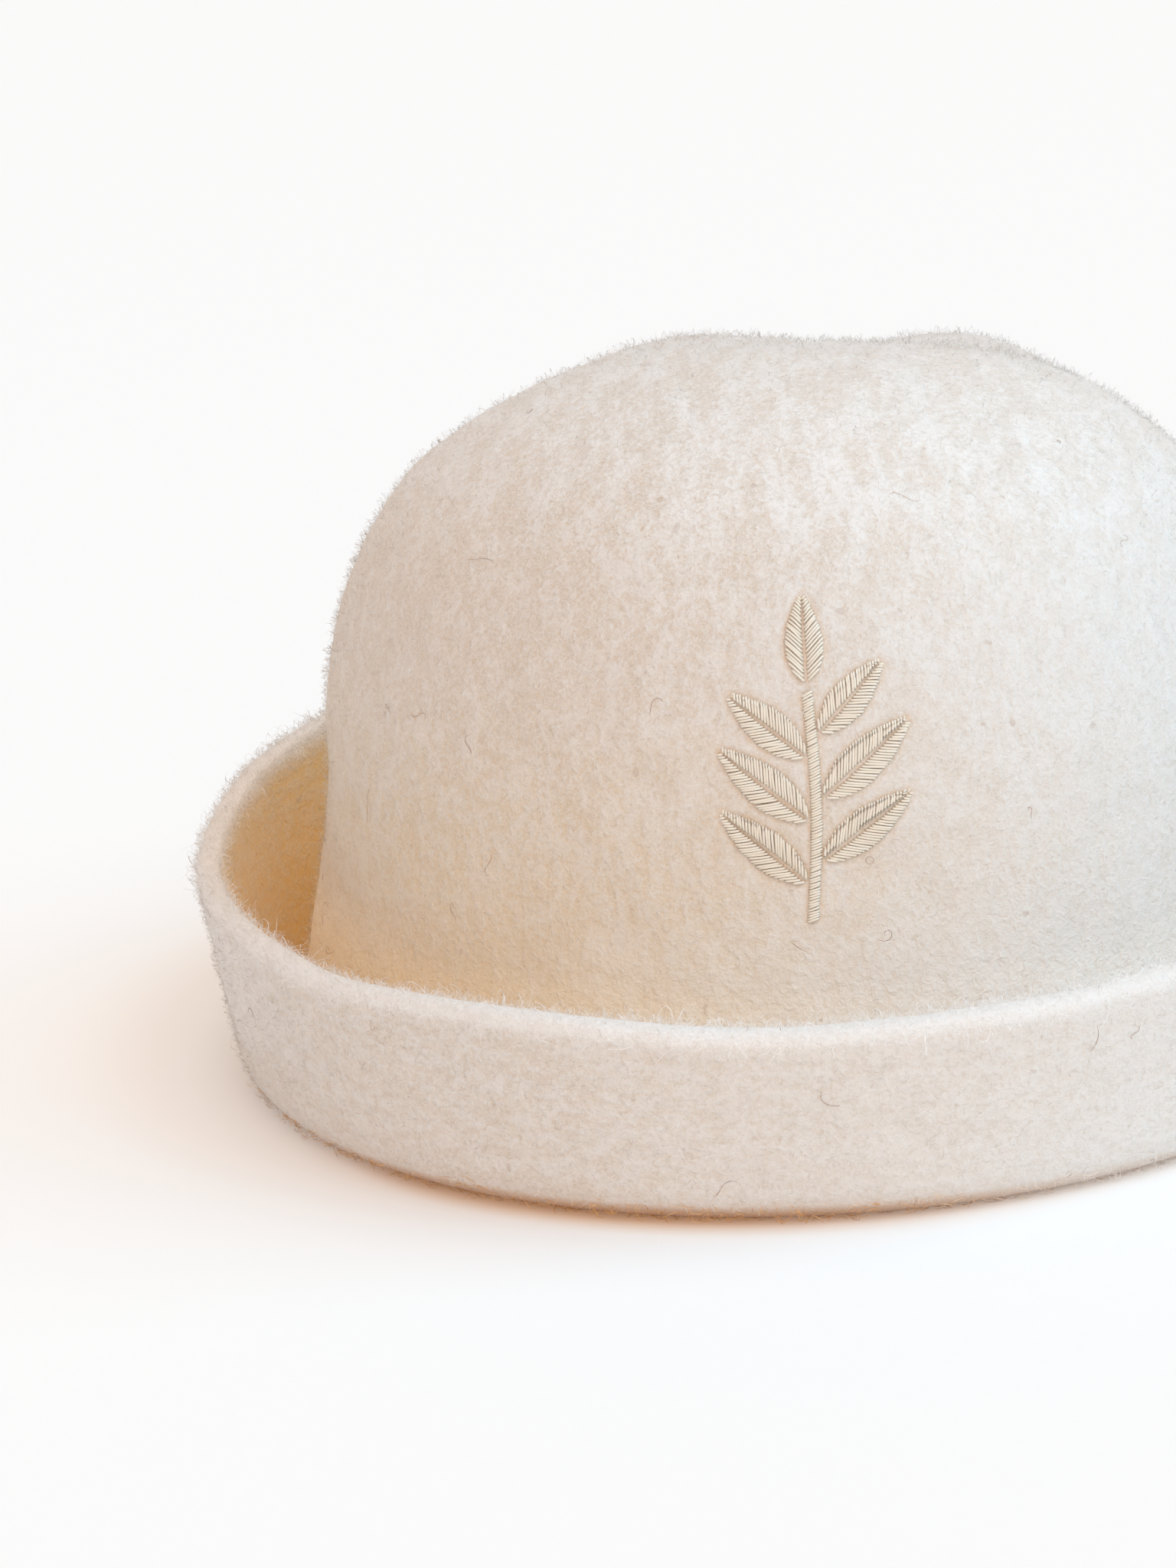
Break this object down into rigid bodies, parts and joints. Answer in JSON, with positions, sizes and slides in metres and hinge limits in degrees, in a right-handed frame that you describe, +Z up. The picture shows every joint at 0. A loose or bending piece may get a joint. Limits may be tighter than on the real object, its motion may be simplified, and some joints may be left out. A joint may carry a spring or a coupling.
{
  "type": "sauna hat",
  "caption": "Thick wool felt bowler for the sauna, with a tall domed crown, a turned-up flaring brim and a leafy sprig in satin stitch on the front.",
  "frame": {"origin": "on the surface the hat stands on, at the middle of its plan", "axes": "+Z up through the crown, -Y out of the front where the stitched sprig is, +X towards a viewer's right who faces the front"},
  "size_m": [0.2295, 0.2439, 0.1315],
  "materials": {
    "wool_felt": "thick natural cream wool felt with a mottled, fuzzy nap",
    "cream_thread": "cream embroidery thread in satin stitch, soft gloss"
  },
  "bodies": {
    "root": {"felt_hat": "wool_felt", "stitched_stem": "cream_thread", "stitched_leaf_left_low": "cream_thread", "stitched_leaf_right_low": "cream_thread", "stitched_leaf_left_middle": "cream_thread", "stitched_leaf_right_middle": "cream_thread", "stitched_leaf_left_top": "cream_thread", "stitched_leaf_right_top": "cream_thread", "stitched_leaf_tip": "cream_thread"}
  },
  "joints": []
}
